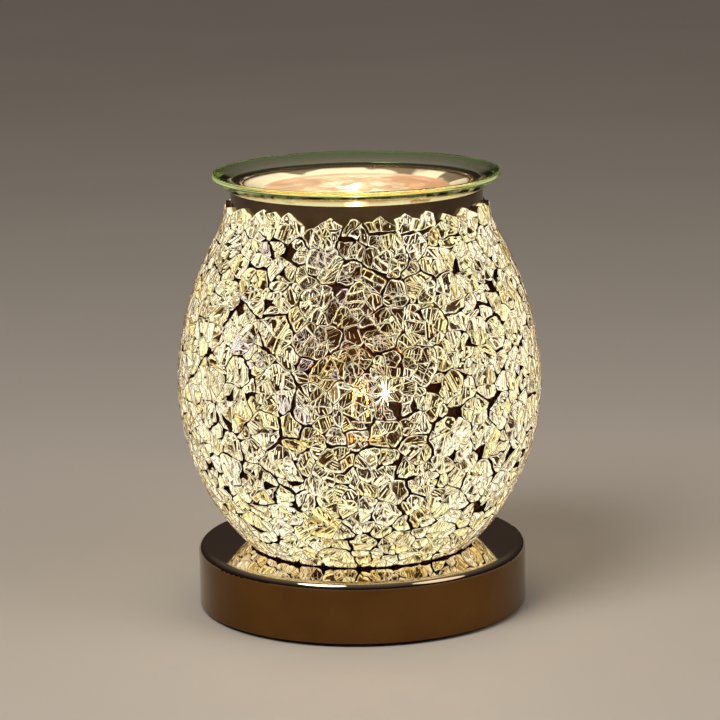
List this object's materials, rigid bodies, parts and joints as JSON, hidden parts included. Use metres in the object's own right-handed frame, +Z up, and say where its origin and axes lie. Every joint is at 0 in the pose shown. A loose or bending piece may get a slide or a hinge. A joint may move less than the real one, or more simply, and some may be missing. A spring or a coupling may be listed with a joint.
{
  "type": "electric wax melt warmer",
  "caption": "Electric wax melt warmer: round chrome base, bulbous crackle-glass mosaic shade lit by a capsule lamp, and a loose flared glass dish of melted wax on top.",
  "frame": {"origin": "centre of the base, on the surface that the feet stand on", "axes": "+Z up, -Y the front in the picture, +Y the back with the cord inlet, +X to the viewer's right"},
  "size_m": [0.15, 0.15, 0.1812],
  "materials": {
    "chrome": "mirror-polished chromium plate on spun steel",
    "steel": "zinc-plated sheet steel",
    "steel_black": "black painted sheet steel",
    "screw_steel": "zinc-plated steel",
    "rubber": "matt black rubber",
    "rubber_black": "satin black rubber",
    "nylon": "natural nylon",
    "plastic_white": "moulded off-white plastic",
    "foam": "soft white foam tape",
    "circuit_board": "glass-fibre board with green mask",
    "components": "moulded black and coloured parts",
    "lead_sleeve": "white silicone sleeve",
    "glass_sleeve": "woven glass-fibre sleeve",
    "brass": "plain brass",
    "silicone": "translucent silicone",
    "ceramic": "white steatite ceramic",
    "bronze": "sprung bronze strip",
    "quartz": "clear quartz",
    "tungsten": "bare tungsten wire",
    "shade_glass": "smoke-brown glass with a faint metallic lustre",
    "mosaic_glass": "crackled cream glass chips with dark joints",
    "dish_glass": "clear glass, green at the edge",
    "wax": "molten peach-coloured wax"
  },
  "bodies": {
    "body": {"base_plate": "steel_black", "base_plate_screws": "screw_steel", "base_shell": "chrome", "base_tabs": "steel", "bracket_nut": "brass", "clamp_disc": "steel", "clamp_nut": "brass", "cord_grommet": "rubber_black", "crackle_mosaic": "mosaic_glass", "dimmer_board": "circuit_board", "dimmer_case": "plastic_white", "dimmer_components": "components", "dimmer_cover": "plastic_white", "dimmer_pad": "foam", "holder_bracket": "steel", "lamp_leads": "glass_sleeve", "lampholder_body": "ceramic", "lampholder_contacts": "bronze", "lampholder_screws": "screw_steel", "lock_washer": "steel", "lower_nut": "brass", "mains_leads": "lead_sleeve", "rubber_feet": "rubber", "seat_gasket": "silicone", "sense_lead": "lead_sleeve", "sense_tag": "steel", "shade_belly": "shade_glass", "shade_foot": "shade_glass", "shade_neck": "shade_glass", "terminal_block": "nylon", "terminal_screws": "screw_steel", "threaded_tube": "brass", "upper_gasket": "silicone"},
    "bulb": {"bulb_capsule": "quartz", "bulb_filament": "tungsten", "bulb_pins": "tungsten"},
    "dish": {"glass_dish": "dish_glass", "wax_melt": "wax"}
  },
  "joints": [
    {"name": "dish_lift", "type": "slide", "parent": "body", "child": "dish", "axis": [0, 0, 1], "range_m": [0, 0.04]},
    {"name": "bulb_pull", "type": "slide", "parent": "body", "child": "bulb", "axis": [0, 0, 1], "range_m": [0, 0.045]}
  ]
}
